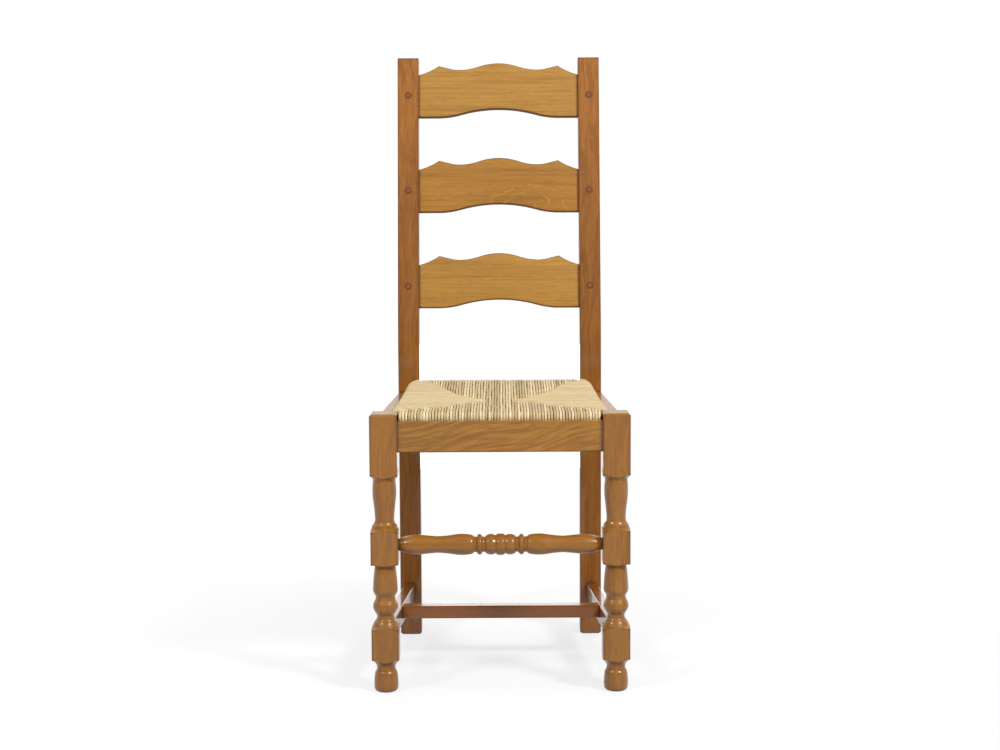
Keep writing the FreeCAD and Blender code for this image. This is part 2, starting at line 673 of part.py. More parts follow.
def rush_seat():
    """Woven rush as one closed body around the seat frame, notched at the front posts."""
    plan = []
    for y in (SEAT_NOTCH_Y, RUSH_REAR):
        plan.append((rush_side(y), y))
    right = [(SEAT_TONGUE, RUSH_FRONT), (SEAT_TONGUE, SEAT_NOTCH_Y)] + plan
    left = [(-x, y) for x, y in reversed(right)]
    body = prism(right + left, LEDGE, RAIL_TOP + 2 * RUSH_RISE_REAR)
    r = RUSH_ROUND
    front_top = rush_top(RUSH_FRONT + r)
    rear_top = rush_top(RUSH_REAR - r)
    k = r * (1 - math.sqrt(0.5))

    def p(y, z):
        return V(-CHAIR_WIDTH, y, z)

    edges = []
    edges.append(Part.makeLine(p(RUSH_FRONT, LEDGE), p(RUSH_FRONT, front_top - r)))
    edges.append(Part.Arc(p(RUSH_FRONT, front_top - r), p(RUSH_FRONT + k, front_top - k),
                          p(RUSH_FRONT + r, front_top)).toShape())
    edges.append(Part.makeLine(p(RUSH_FRONT + r, front_top), p(RUSH_REAR - r, rear_top)))
    edges.append(Part.Arc(p(RUSH_REAR - r, rear_top), p(RUSH_REAR - k, rear_top - k),
                          p(RUSH_REAR, rear_top - r)).toShape())
    edges.append(Part.makeLine(p(RUSH_REAR, rear_top - r), p(RUSH_REAR, LEDGE)))
    edges.append(Part.makeLine(p(RUSH_REAR, LEDGE), p(RUSH_FRONT, LEDGE)))
    profile = Part.Face(Part.Wire(edges)).extrude(V(2 * CHAIR_WIDTH, 0, 0))
    body = body.common(profile)
    sides = []
    for edge in body.Edges:
        a = edge.Vertexes[0].Point
        b = edge.Vertexes[-1].Point
        on_side = near(abs(a.x), rush_side(a.y)) and near(abs(b.x), rush_side(b.y))
        if on_side and min(a.z, b.z) > RAIL_TOP + RUSH_RISE_FRONT / 2 and abs(a.y - b.y) > REAR_FRONT / 2:
            sides.append(edge)
    body = body.makeFillet(RUSH_ROUND * 0.8, sides)
    y0 = FRAME_SIDE_START
    y1 = FRAME_REAR
    z0 = FRAME_BOTTOM
    z1 = FRAME_BOTTOM + FRAME_THICK
    outer = [(FRAME_TONGUE, FRAME_FRONT), (FRAME_TONGUE, y0), (frame_outer(y0), y0), (frame_outer(y1), y1)]
    outer += [(-x, y) for x, y in reversed(outer)]
    y1 = FRAME_REAR_START
    inner = [(frame_inner(y0), y0), (frame_inner(y1), y1)]
    inner += [(-x, y) for x, y in reversed(inner)]
    ring = prism(outer, z0, z1).cut(prism(inner, z0, z1))
    body = body.cut(ring)
    tools = [screw_hole(place) for place in seat_screw_places()]
    return body.cut(tools + [mirrored(t) for t in tools])


# Corner blocks fill the angles between the rails, clear of the posts
def block_front():
    y0 = RAIL_SETBACK + RAIL_THICK
    y1 = FRONT_BACK + BLOCK_ALONG_SIDE
    inner = side_outer(y1) - SIDE_RAIL_THICK
    plan = [(FRONT_INNER - BLOCK_ALONG_FRONT, y0), (FRONT_INNER, y0), (FRONT_INNER, FRONT_BACK),
            (side_outer(FRONT_BACK) - SIDE_RAIL_THICK, FRONT_BACK), (inner, y1)]
    body = prism(plan, LEDGE - BLOCK_HIGH, LEDGE)
    places = screw_places()
    tools = [screw_hole(places[0]), screw_hole(places[1]), screw_hole(seat_screw_places()[0])]
    tools += [screw_pocket(places[0]), screw_pocket(places[1])]
    return body.cut(tools)


def block_rear():
    y0 = REAR_FRONT - BLOCK_REAR_SIDE
    y1 = REAR_FRONT + REAR_RAIL_SETBACK
    plan = [(REAR_INNER - BLOCK_ALONG_REAR, y1), (side_outer(y0) - SIDE_RAIL_THICK, y0),
            (side_outer(REAR_FRONT) - SIDE_RAIL_THICK, REAR_FRONT), (REAR_INNER, REAR_FRONT), (REAR_INNER, y1)]
    body = prism(plan, LEDGE - BLOCK_HIGH, LEDGE)
    places = screw_places()
    tools = [screw_hole(places[2]), screw_hole(places[3]), screw_hole(seat_screw_places()[1])]
    tools += [screw_pocket(places[2]), screw_pocket(places[3])]
    return body.cut(tools)


def screw_places():
    """Head seat and direction of each screw that holds a corner block to a rail."""
    z = LEDGE - BLOCK_HIGH / 2
    into = SCREW_LONG - SCREW_BITE
    front = V(FRONT_INNER - 20, RAIL_SETBACK + RAIL_THICK + into, z)
    y_side = FRONT_BACK + 30
    side_front = V(side_outer(y_side) - SIDE_RAIL_THICK - into, y_side, z)
    rear = V(REAR_INNER - 20, REAR_FRONT + REAR_RAIL_SETBACK - into, z)
    y_side = REAR_FRONT - 30
    side_rear = V(side_outer(y_side) - SIDE_RAIL_THICK - into, y_side, z)
    return [(front, V(0, -1, 0)), (side_front, V(1, 0, 0)), (rear, V(0, 1, 0)), (side_rear, V(1, 0, 0))]


def seat_screw_places():
    """Head seat and direction of each screw that comes up through a block into the seat."""
    z = LEDGE - BLOCK_HIGH
    return [(V(FRONT_INNER - 8, FRAME_SIDE_START + 9, z), V(0, 0, 1)),
            (V(REAR_INNER - 3, REAR_FRONT - 18, z), V(0, 0, 1))]


def screw_length(direction):
    return BLOCK_HIGH + RUSH_WRAP + SCREW_BITE - 2 if direction.z > 0.5 else SCREW_LONG


def screw_hole(place):
    seat, direction = place
    return Part.makeCylinder(SCREW_DIA / 2 + GAP / 2, screw_length(direction) + GAP, seat, direction)


def screw_pocket(place):
    seat, direction = place
    reach = BLOCK_ALONG_FRONT
    return Part.makeCylinder(SCREW_HEAD / 2 + 4 * GAP, reach, seat - direction * reach, direction)


def screw(place):
    """Round-headed wood screw with a cross recess."""
    seat, direction = place
    shank = Part.makeCylinder(SCREW_DIA / 2, screw_length(direction) - 4, seat, direction)
    tip_at = seat + direction * (screw_length(direction) - 4)
    tip = Part.makeCone(SCREW_DIA / 2, 0.4, 4, tip_at, direction)
    head = Part.makeCylinder(SCREW_HEAD / 2, SCREW_HEAD_HIGH, seat - direction * SCREW_HEAD_HIGH, direction)
    top = [e for e in head.Edges if len(e.Vertexes) == 1]
    top = [e for e in top if abs((e.Vertexes[0].Point - seat).dot(direction) + SCREW_HEAD_HIGH) < 0.01]
    head = head.makeFillet(1.5, top)
    body = head.fuse([shank, tip]).removeSplitter()
    side = V(0, 0, 1) if abs(direction.z) < 0.5 else V(1, 0, 0)
    other = side.cross(direction)
    for along in (side, other):
        across = along.cross(direction)
        corner = seat - direction * SCREW_HEAD_HIGH - along * 2.2 - across * 0.5
        loop = [corner, corner + along * 4.4, corner + along * 4.4 + across, corner + across, corner]
        body = body.cut(Part.Face(Part.makePolygon(loop)).extrude(direction * 1.6))
    return body


def save(name, shapes):
    """Write one node, with the chair centred front to back over the origin."""
    if not isinstance(shapes, list):
        shapes = [shapes]
    solids = []
    for shape in shapes:
        moved = shape.copy()
        moved.translate(V(0, -DEPTH / 2, 0))
        assert moved.isValid(), name
        assert len(moved.Solids) == 1, name
        solids.append(moved.Solids[0])
    node = solids[0] if len(solids) == 1 else Part.makeCompound(solids)
    node.exportStep("parts/%s.step" % name)


def save_pair(name, right):
    save(name + "_right", right)
    save(name + "_left", mirrored(right))


def main():
    os.makedirs("parts", exist_ok=True)
    save_pair("rear_post", rear_post())
    save_pair("front_post", front_post())
    for name, base in zip(("slat_bottom", "slat_middle", "slat_top"), SLAT_BASES):
        save(name, slat(base))
    save("slat_pegs", [peg(base, side, 0) for base in SLAT_BASES for side in (-1, 1)])
    save("front_rail", front_rail())
    save("rear_rail", rear_rail())
    save_pair("side_rail", side_rail())
    save("front_stretcher", turned_stretcher())
    save_pair("side_stretcher", side_stretcher())
    save("cross_stretcher", cross_stretcher())
    save("seat_frame_front", seat_frame_front())
    save("seat_frame_rear", seat_frame_rear())
    save_pair("seat_frame_side", seat_frame_side())
    save("rush_seat", rush_seat())
    save_pair("corner_block_front", block_front())
    save_pair("corner_block_rear", block_rear())
    block_screws = [screw(place) for place in screw_places()]
    save("block_screws", block_screws + [mirrored(s) for s in block_screws])
    seat_screws = [screw(place) for place in seat_screw_places()]
    save("seat_screws", seat_screws + [mirrored(s) for s in seat_screws])


main()
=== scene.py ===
"""Ladderback chair with a rush seat: materials, woven seat, floor, light and camera."""
import math
import random

import bpy
import numpy as np
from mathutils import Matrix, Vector


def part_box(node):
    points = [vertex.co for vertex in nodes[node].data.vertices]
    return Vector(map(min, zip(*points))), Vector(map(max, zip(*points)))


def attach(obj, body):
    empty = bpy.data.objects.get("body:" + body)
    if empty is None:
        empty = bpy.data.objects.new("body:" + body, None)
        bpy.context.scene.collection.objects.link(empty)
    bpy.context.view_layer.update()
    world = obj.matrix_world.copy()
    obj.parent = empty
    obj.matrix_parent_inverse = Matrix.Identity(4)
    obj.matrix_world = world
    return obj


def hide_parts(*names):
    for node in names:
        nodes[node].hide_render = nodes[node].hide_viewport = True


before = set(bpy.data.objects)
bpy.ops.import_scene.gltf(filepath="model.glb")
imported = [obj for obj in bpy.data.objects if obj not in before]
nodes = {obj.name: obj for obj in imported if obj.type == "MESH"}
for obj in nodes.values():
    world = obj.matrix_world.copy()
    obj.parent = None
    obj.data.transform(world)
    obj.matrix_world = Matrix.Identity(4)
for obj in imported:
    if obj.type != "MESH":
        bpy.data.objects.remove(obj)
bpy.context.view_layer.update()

scene = bpy.context.scene
scene.view_settings.view_transform = "Standard"

# Places on the chair, in metres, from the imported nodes
FRONT_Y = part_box("front_post_left")[0].y
POST_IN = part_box("front_post_right")[0].x
POST_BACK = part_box("front_post_right")[1].y
SEAT_LOW, SEAT_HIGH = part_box("rush_seat")

# Camera
FOCAL_PIXELS = 1806.0
IMAGE_WIDE = 1000.0
CAMERA_BACK = 2.868
CAMERA_HIGH = 0.862
CAMERA_SIDE = 0.0009
CAMERA_PITCH = math.radians(5.5)
CAMERA_ROLL = 0.005
CAMERA_SHIFT = -0.040


def make_camera():
    data = bpy.data.cameras.new("camera")
    data.sensor_width = 36.0
    data.lens = data.sensor_width * FOCAL_PIXELS / IMAGE_WIDE
    data.shift_y = CAMERA_SHIFT
    data.clip_end = 60.0
    camera = bpy.data.objects.new("camera", data)
    camera.location = (CAMERA_SIDE, FRONT_Y - CAMERA_BACK, CAMERA_HIGH)
    camera.rotation_euler = (math.pi / 2 - CAMERA_PITCH, 0.0, 0.0)
    camera.rotation_euler.rotate_axis("Z", -CAMERA_ROLL)
    scene.collection.objects.link(camera)
    scene.camera = camera


# Materials
class Graph:
    """Small helper that adds and links shader nodes."""

    def __init__(self, name):
        self.material = bpy.data.materials.new(name)
        self.material.use_nodes = True
        self.tree = self.material.node_tree
        self.shader = self.tree.nodes["Principled BSDF"]
        self.coords = self.add("ShaderNodeTexCoord").outputs["Object"]

    def add(self, kind, **settings):
        node = self.tree.nodes.new(kind)
        for key, value in settings.items():
            setattr(node, key, value)
        return node

    def feed(self, socket, value):
        if isinstance(value, bpy.types.NodeSocket):
            self.tree.links.new(value, socket)
        else:
            socket.default_value = value

    def math(self, operation, a, b=0.0, clamp=False):
        node = self.add("ShaderNodeMath", operation=operation, use_clamp=clamp)
        self.feed(node.inputs[0], a)
        self.feed(node.inputs[1], b)
        return node.outputs[0]

    def scaled(self, coords, scale, offset=(0, 0, 0), turn=(0, 0, 0)):
        node = self.add("ShaderNodeMapping")
        self.feed(node.inputs["Vector"], coords)
        node.inputs["Scale"].default_value = scale
        node.inputs["Location"].default_value = offset
        node.inputs["Rotation"].default_value = turn
        return node.outputs[0]

    def noise(self, coords, detail=3.0, rough=0.55, warp=0.0):
        node = self.add("ShaderNodeTexNoise")
        self.feed(node.inputs["Vector"], coords)
        node.inputs["Scale"].default_value = 1.0
        node.inputs["Detail"].default_value = detail
        node.inputs["Roughness"].default_value = rough
        node.inputs["Distortion"].default_value = warp
        return node.outputs["Fac"]

    def ramp(self, value, stops, smooth=False):
        node = self.add("ShaderNodeValToRGB")
        self.feed(node.inputs[0], value)
        ramp = node.color_ramp
        ramp.interpolation = "EASE" if smooth else "LINEAR"
        while len(ramp.elements) < len(stops):
            ramp.elements.new(0.5)
        for element, (place, colour) in zip(ramp.elements, stops):
            element.position = place
            if not isinstance(colour, tuple):
                colour = (colour, colour, colour)
            element.color = (*colour, 1.0)
        return node.outputs[0]

    def mix(self, share, a, b, blend="MIX"):
        node = self.add("ShaderNodeMix", data_type="RGBA", blend_type=blend)
        self.feed(node.inputs[0], share)
        for socket, value in ((node.inputs[6], a), (node.inputs[7], b)):
            if isinstance(value, tuple):
                value = (*value, 1.0)
            self.feed(socket, value)
        return node.outputs[2]

    def closeness(self, reach, stops, **settings):
        """Ramp of how near other surfaces, or with inside=True the piece's own edges, are."""
        node = self.add("ShaderNodeAmbientOcclusion", samples=8, **settings)
        node.inputs["Distance"].default_value = reach
        return self.ramp(node.outputs["AO"], stops)

    def split(self, coords):
        node = self.add("ShaderNodeSeparateXYZ")
        self.feed(node.inputs[0], coords)
        return node.outputs

    def bump(self, height, strength, distance):
        node = self.add("ShaderNodeBump")
        self.feed(node.inputs["Height"], height)
        node.inputs["Strength"].default_value = strength
        node.inputs["Distance"].default_value = distance
        return node.outputs[0]


# How far painted shade reaches in hollows, along edges and between strands, and how wide the dark ring round
# the pegs is
HOLLOW_REACH = 0.008
EDGE_REACH = 0.0042
PEG_RING = 0.0022
STRAND_REACH = 0.006

# Turn that lays the fibres along each axis
GRAIN_TURN = {"x": (0, math.pi / 2, 0), "y": (math.pi / 2, 0, 0), "z": (0, 0, 0)}


def colour_of(red, green, blue):
    """Linear value of a colour given in the usual steps from 0 to 255."""
    return tuple((c / 255) ** 2.2 for c in (red, green, blue))


def wood(name, along, colour, seed, dark_share=0.66, streaks=1.0, coat=0.45, rays=None, contours=None,
         painted_post_shade=0.0, lacquer=1.0, crease_shade=0.55, arris=0.0):
    """Stained close-grained wood whose fibres and flecks run along one axis.

    rays gives the slope, length, height and strength of slanting pale lines, contours the
    middle, the two half widths, the number and the strength of growth lines on a face. The post
    shade weight paints shade over the middle of a tall post and a little light just below its
    seat, the crease weight paints shade in its joints and hollows, and arris paints a highlight
    and shade on its level edges.
    """
    g = Graph(name)
    light = tuple(min(1.0, c * 1.15) for c in colour)
    pale = tuple(min(1.0, c * k) for c, k in zip(colour, (1.42, 1.50, 1.75)))
    dark = tuple(c * dark_share * k for c, k in zip(colour, (1.0, 0.92, 0.84)))
    turned = g.scaled(g.coords, (1, 1, 1), turn=GRAIN_TURN[along])
    shifted = g.scaled(turned, (1, 1, 1), offset=(seed * 0.37, seed * 0.53, seed * 0.71))
    spot = g.split(g.coords)

    # Long soft streaks, a slow cloud of stain, and fine fibres
    streak = g.noise(g.scaled(shifted, (260, 260, 6)), detail=4.0, rough=0.62)
    broad = g.noise(g.scaled(shifted, (52, 52, 2.2)), detail=3.0, warp=0.4)
    cloud = g.noise(g.scaled(shifted, (9, 9, 5.0)), detail=2.0)
    fleck = g.noise(g.scaled(shifted, (480, 480, 58)), detail=2.0, rough=0.6)
    fibre = g.noise(g.scaled(shifted, (1700, 1700, 40)), detail=2.0, rough=0.7)
    tone = g.math("ADD", g.math("MULTIPLY", streak, 0.50), g.math("MULTIPLY", broad, 0.28))
    tone = g.math("ADD", tone, g.math("MULTIPLY", fibre, 0.22))
    spread = 0.14 / streaks
    base = g.ramp(tone, [(0.5 - spread, light), (0.5, colour), (0.5 + spread * 1.5, dark)])
    base = g.mix(1.0, base, g.ramp(cloud, [(0.30, 0.90), (0.70, 1.08)]), "MULTIPLY")

    if rays:
        slope, long, high, strength = rays
        run = 0 if along == "x" else 2
        other = 2 if along == "x" else 0
        bent = g.math("MULTIPLY", g.math("SINE", g.math("MULTIPLY", spot[run], 37.0)), 0.004)
        level = g.math("SUBTRACT", spot[other], g.math("MULTIPLY", spot[run], slope))
        joined = g.add("ShaderNodeCombineXYZ")
        g.feed(joined.inputs[0], g.math("DIVIDE", spot[run], long))
        g.feed(joined.inputs[1], g.math("MULTIPLY", spot[1], 20.0))
        g.feed(joined.inputs[2], g.math("DIVIDE", g.math("ADD", level, bent), high))
        field = g.noise(joined.outputs[0], detail=2.0, rough=0.45, warp=0.25)
        line = g.ramp(field, [(0.50, 0.0), (0.585, 1.0), (0.66, 0.15), (0.78, 0.9)], smooth=True)
        base = g.mix(g.math("MULTIPLY", line, strength), base, pale)
        under = g.ramp(field, [(0.34, 1.0), (0.47, 0.0)], smooth=True)
        base = g.mix(g.math("MULTIPLY", under, strength * 0.7), base, dark)

    if contours:
        middle, half_x, half_z, count, strength = contours
        wobble = g.math("MULTIPLY", g.noise(g.scaled(g.coords, (22, 22, 40)), detail=2.0), 1.1)
        dx = g.math("DIVIDE", g.math("SUBTRACT", spot[0], middle[0]), half_x)
        dz = g.math("DIVIDE", g.math("SUBTRACT", spot[2], middle[1]), half_z)
        away = g.math("SQRT", g.math("ADD", g.math("MULTIPLY", dx, dx), g.math("MULTIPLY", dz, dz)))
        turns = g.math("FRACT", g.math("MULTIPLY", g.math("ADD", away, wobble), count))
        line = g.ramp(turns, [(0.80, 0.0), (0.90, 1.0), (1.0, 0.0)])
        near = g.ramp(g.math("MULTIPLY", away, 0.4), [(0.55, 1.0), (0.85, 0.0)])
        broken = g.ramp(g.noise(g.scaled(g.coords, (30, 30, 60)), detail=1.0), [(0.40, 0.0), (0.50, 1.0)])
        shown = g.math("MULTIPLY", g.math("MULTIPLY", line, near), broken)
        base = g.mix(g.math("MULTIPLY", shown, strength), base, pale)

    short_dark = g.ramp(fleck, [(0.57, 0.0), (0.67, 1.0)])
    short_pale = g.ramp(fleck, [(0.33, 1.0), (0.43, 0.0)])
    base = g.mix(g.math("MULTIPLY", short_dark, 0.42), base, dark)
    base = g.mix(g.math("MULTIPLY", short_pale, 0.30), base, pale)
    # Painted shade on a tall post above the seat, deepest just over it and fading toward the top, and a
    # little painted light on the leg just below the seat
    if painted_post_shade:
        painted_post_light_and_shade = g.ramp(spot[2], [(0.02, 1.0), (0.42, 1.06), (0.50, 1.0 - painted_post_shade), (0.74, 1.0 - painted_post_shade * 0.7),
                                        (0.98, 1.0)], smooth=True)
        base = g.mix(1.0, base, painted_post_light_and_shade, "MULTIPLY")

    # Painted shade along the rounded edges, in the hollows of the turning and along the joints
    painted_shade_colour = tuple(c * k for c, k in zip(dark, (0.40, 0.25, 0.16)))
    shade = g.closeness(HOLLOW_REACH, [(0.35, 1.0), (0.90, 0.0)])
    base = g.mix(g.math("MULTIPLY", shade, crease_shade), base, painted_shade_colour)
    # Painted shade: a dark line along the piece's own rounded edges
    rim = g.closeness(EDGE_REACH, [(0.52, 1.0), (0.88, 0.0)], only_local=True, inside=True)
    base = g.mix(g.math("MULTIPLY", rim, 0.85), base, painted_shade_colour)

    if arris:
        rise = g.split(g.add("ShaderNodeNewGeometry").outputs["Normal"])[2]
        # Painted highlight where the rounded edge turns partly upward
        lit = g.ramp(rise, [(0.20, 0.0), (0.30, 1.0), (0.42, 1.0), (0.54, 0.0)])
        base = g.mix(g.math("MULTIPLY", lit, arris * 0.7), base, pale)
        # Painted shade on faces and edges that turn well up or down
        brown = g.ramp(g.math("ABSOLUTE", rise), [(0.44, 0.0), (0.58, 1.0)])
        painted_level_edge_shade = tuple(c * k for c, k in zip(dark, (0.50, 0.38, 0.34)))
        base = g.mix(g.math("MULTIPLY", brown, arris), base, painted_level_edge_shade)
        rim = g.math("MAXIMUM", rim, brown)

    g.feed(g.shader.inputs["Base Color"], base)
    sheen = g.noise(g.scaled(shifted, (60, 60, 14)), detail=3.0)
    rough = 0.36 if lacquer else 0.62
    gloss = g.math("ADD", g.math("MULTIPLY", sheen, 0.14), rough - 0.07)
    gloss = g.math("ADD", gloss, g.math("MULTIPLY", short_dark, 0.12))
    gloss = g.math("ADD", gloss, g.math("MULTIPLY", rim, 0.40), clamp=True)
    g.feed(g.shader.inputs["Roughness"], gloss)
    g.shader.inputs["Specular IOR Level"].default_value = 0.40
    g.shader.inputs["Coat Weight"].default_value = coat * lacquer
    g.shader.inputs["Coat Roughness"].default_value = 0.08
    height = g.math("SUBTRACT", g.math("MULTIPLY", fibre, 0.4), short_dark)
    g.feed(g.shader.inputs["Normal"], g.bump(height, 0.22, 0.00010))
    return g.material


def end_grain(name, light, dark):
    """Round wooden peg seen from its end, with a dark ring of glue and stain."""
    g = Graph(name)
    fine = g.noise(g.scaled(g.coords, (900, 300, 900)), detail=3.0)
    dots = g.ramp(g.noise(g.scaled(g.coords, (2600, 500, 2600)), detail=1.0), [(0.55, 0.0), (0.66, 1.0)])
    colour = g.ramp(fine, [(0.30, light), (0.72, dark)])
    colour = g.mix(g.math("MULTIPLY", dots, 0.4), colour, tuple(c * 0.5 for c in dark))
    rim = g.closeness(PEG_RING, [(0.60, 1.0), (0.97, 0.0)], only_local=True, inside=True)
    colour = g.mix(g.math("MULTIPLY", rim, 0.85), colour, tuple(c * 0.4 for c in dark))
    g.feed(g.shader.inputs["Base Color"], colour)
    g.shader.inputs["Roughness"].default_value = 0.40
    g.feed(g.shader.inputs["Normal"], g.bump(fine, 0.3, 0.0002))
    return g.material


def steel(name):
    """Zinc-plated screw."""
    g = Graph(name)
    spots = g.noise(g.scaled(g.coords, (700, 700, 700)), detail=3.0)
    colour = g.ramp(spots, [(0.3, (0.50, 0.48, 0.42)), (0.7, (0.72, 0.71, 0.66))])
    g.feed(g.shader.inputs["Base Color"], colour)
    g.shader.inputs["Metallic"].default_value = 1.0
    g.feed(g.shader.inputs["Roughness"], g.ramp(spots, [(0.3, 0.28), (0.7, 0.46)]))
    return g.material


def rush(name, along):
    """Dry twisted rush whose strands run along one level axis."""
    g = Graph(name)
    fine = (1400, 34, 34) if along == "y" else (34, 1400, 34)
    soft = (420, 16, 16) if along == "y" else (16, 420, 16)
    spot = g.split(g.coords)
    run, side = (1, 0) if along == "y" else (0, 1)
    sheared = g.math("ADD", spot[side], g.math("MULTIPLY", spot[run], 0.22))
    joined = g.add("ShaderNodeCombineXYZ")
    g.feed(joined.inputs[side], sheared)
    g.feed(joined.inputs[run], spot[run])
    g.feed(joined.inputs[2], spot[2])
    fibres = g.noise(g.scaled(joined.outputs[0], fine), detail=3.0, rough=0.65)
    blades = g.noise(g.scaled(joined.outputs[0], soft), detail=2.0)
    blotch = g.noise(g.scaled(g.coords, (24, 24, 24)), detail=3.0)
    tone = g.add("ShaderNodeAttribute", attribute_name="tone").outputs["Fac"]
    # The side-to-side strands get a darker copy of the same rush colours: painted shade
    pale = (0.74, 0.61, 0.39) if along == "y" else (0.62, 0.50, 0.31)
    straw = (0.57, 0.43, 0.23) if along == "y" else (0.53, 0.41, 0.23)
    brown = (0.36, 0.25, 0.11)
    green = (0.50, 0.47, 0.25)
    spread = 0.50 if along == "y" else 0.26
    value = g.math("ADD", g.math("MULTIPLY", tone, spread), g.math("MULTIPLY", blades, 0.42))
    value = g.math("ADD", value, 0.25 - spread / 2)
    value = g.math("ADD", value, g.math("MULTIPLY", fibres, 0.22))
    colour = g.ramp(value, [(0.28, pale), (0.56, straw), (0.92, brown)])
    tint = g.ramp(blotch, [(0.46, 0.0), (0.66, 0.45)])
    colour = g.mix(tint, colour, g.mix(0.5, colour, green))
    # Painted shade between the strands, deeper on the front-to-back strands
    shade = g.closeness(STRAND_REACH, [(0.22, 1.0), (0.78, 0.0)])
    colour = g.mix(g.math("MULTIPLY", shade, 0.55 if along == "y" else 0.30), colour, (0.20, 0.115, 0.045))
    g.feed(g.shader.inputs["Base Color"], colour)
    g.feed(g.shader.inputs["Roughness"], g.ramp(fibres, [(0.3, 0.50), (0.7, 0.68)]))
    height = g.math("ADD", fibres, g.math("MULTIPLY", blades, 0.8))
    g.feed(g.shader.inputs["Normal"], g.bump(height, 0.5, 0.0004))
    return g.material


def stuffing(name):
    """Chopped rush between the layers, coloured near black as painted shade."""
    g = Graph(name)
    bits = g.noise(g.scaled(g.coords, (260, 260, 260)), detail=4.0)
    # Near-black colour: painted shade for the gaps between strands
    colour = g.ramp(bits, [(0.3, (0.05, 0.03, 0.012)), (0.7, (0.15, 0.10, 0.045))])
    g.feed(g.shader.inputs["Base Color"], colour)
    g.shader.inputs["Roughness"].default_value = 0.9
    g.feed(g.shader.inputs["Normal"], g.bump(bits, 0.8, 0.001))
    return g.material


# Colours of the stain on each kind of piece
SLAT_COLOUR = colour_of(164, 119, 51)
MIDDLE_COLOUR = colour_of(155, 107, 41)
POST_COLOUR = colour_of(145, 90, 31)
LEG_COLOUR = colour_of(144, 94, 34)
RAIL_COLOUR = colour_of(147, 99, 34)
LOW_COLOUR = colour_of(128, 74, 16)
RAW_COLOUR = colour_of(214, 184, 140)


def soften(piece, width, angle=28.0):
    """Joins the mesh, rounds its sharp edges a little and shades it smoothly."""
    mesh = piece.data
    if mesh.has_custom_normals:
        bpy.context.view_layer.objects.active = piece
        bpy.ops.mesh.customdata_custom_splitnormals_clear()
    mesh.polygons.foreach_set("use_smooth", [True] * len(mesh.polygons))
    weld = piece.modifiers.new("weld", "WELD")
    weld.merge_threshold = 0.00001
    if width:
        bevel = piece.modifiers.new("soft_edge", "BEVEL")
        bevel.width = width
        bevel.segments = 2
        bevel.limit_method = "ANGLE"
        bevel.angle_limit = math.radians(angle)
        bevel.harden_normals = True
        bevel.use_clamp_overlap = True
    else:
        split = piece.modifiers.new("split", "EDGE_SPLIT")
        split.split_angle = math.radians(angle)


def finish_node(name, material, width=0.0005, angle=28.0):
    piece = nodes[name]
    piece.data.materials.clear()
    piece.data.materials.append(material)
    soften(piece, width, angle)


# Middle of the growth lines on the middle slat, from the chair's axis and the slat's lower edge
GROWTH_X = 0.052
GROWTH_RISE = 0.012


def dress_wood():
    matt = {"coat": 0.0, "streaks": 1.2, "arris": 0.9}
    finish_node("slat_top", wood("wood_slat_top", "x", SLAT_COLOUR, 1.0, **matt))
    centre = (GROWTH_X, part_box("slat_middle")[0].z + GROWTH_RISE)
    growth = (centre, 0.045, 0.030, 2.0, 0.85)
    finish_node("slat_middle", wood("wood_slat_middle", "x", MIDDLE_COLOUR, 2.0, contours=growth, **matt))
    finish_node("slat_bottom", wood("wood_slat_bottom", "x", SLAT_COLOUR, 3.0, **matt))
    rays = (0.24, 0.070, 0.0050, 0.75)
    finish_node("front_rail", wood("wood_front_rail", "x", RAIL_COLOUR, 4.0, rays=rays))
    finish_node("rear_rail", wood("wood_rear_rail", "x", RAIL_COLOUR, 5.0))
    finish_node("front_stretcher", wood("wood_front_stretcher", "x", LEG_COLOUR, 6.0), width=0.0)
    finish_node("cross_stretcher", wood("wood_cross_stretcher", "x", LOW_COLOUR, 7.0, coat=0.6))
    for side, seed in (("left", 10.0), ("right", 20.0)):
        finish_node("front_post_" + side, wood("wood_front_post_" + side, "z", LEG_COLOUR, seed,
                                               rays=(0.05, 0.16, 0.009, 0.30)), width=0.0)
        finish_node("rear_post_" + side, wood("wood_rear_post_" + side, "z", POST_COLOUR, seed + 1,
                                              streaks=1.5, painted_post_shade=0.24, rays=(0.03, 0.12, 0.007, 0.42)))
        finish_node("side_rail_" + side, wood("wood_side_rail_" + side, "y", RAIL_COLOUR, seed + 2))
        finish_node("side_stretcher_" + side, wood("wood_side_stretcher_" + side, "y", LOW_COLOUR, seed + 3,
                                                   coat=0.6))
    raw = wood("wood_raw_x", "x", RAW_COLOUR, 31.0, lacquer=0.0)
    raw_side = wood("wood_raw_y", "y", RAW_COLOUR, 32.0, lacquer=0.0)
    for name in ("seat_frame_front", "seat_frame_rear"):
        finish_node(name, raw)
    for name in ("seat_frame_side_left", "seat_frame_side_right"):
        finish_node(name, raw_side)
    for name in ("corner_block_front_left", "corner_block_front_right",
                 "corner_block_rear_left", "corner_block_rear_right"):
        finish_node(name, raw, width=0.0)
    finish_node("slat_pegs", end_grain("peg_end_grain", colour_of(142, 90, 42), colour_of(106, 64, 30)))
    metal = steel("zinc_steel")
    finish_node("block_screws", metal, width=0.0)
    finish_node("seat_screws", metal, width=0.0)


